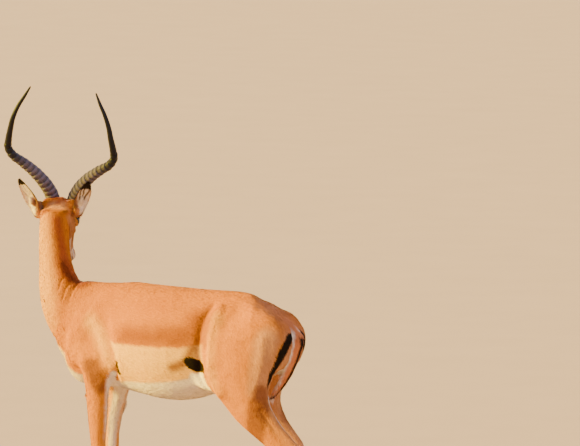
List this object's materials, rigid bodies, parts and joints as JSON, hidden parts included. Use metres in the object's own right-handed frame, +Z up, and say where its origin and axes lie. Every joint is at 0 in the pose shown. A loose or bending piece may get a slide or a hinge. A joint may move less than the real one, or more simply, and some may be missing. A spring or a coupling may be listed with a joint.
{
  "type": "impala antelope",
  "caption": "Life-size still model of a standing impala ram, head turned to its right, with ringed lyre-shaped horns, cupped ears, short coat and cloven hooves.",
  "frame": {"origin": "on the ground, under the middle of the bounding box", "axes": "+X towards the front of the body (chest end), +Y to the animal's left, +Z up"},
  "size_m": [1.1891, 0.3752, 1.5603],
  "materials": {
    "coat_red": "short dense red-brown hair, matt",
    "coat_pale": "short dense fawn hair, matt",
    "horn": "ringed horn, satin",
    "hoof": "smooth hoof horn, satin",
    "eye": "wet dark eye, glossy"
  },
  "bodies": {
    "root": {"ear_left": "coat_red", "ear_right": "coat_red", "eye_left": "eye", "eye_right": "eye", "fore_hoof_left_in": "hoof", "fore_hoof_left_out": "hoof", "fore_hoof_right_in": "hoof", "fore_hoof_right_out": "hoof", "fore_leg_left": "coat_pale", "fore_leg_right": "coat_pale", "head": "coat_red", "hind_hoof_left_in": "hoof", "hind_hoof_left_out": "hoof", "hind_hoof_right_in": "hoof", "hind_hoof_right_out": "hoof", "hind_leg_left": "coat_pale", "hind_leg_right": "coat_pale", "horn_left": "horn", "horn_right": "horn", "neck": "coat_red", "tail": "coat_pale", "trunk": "coat_red"}
  },
  "joints": []
}
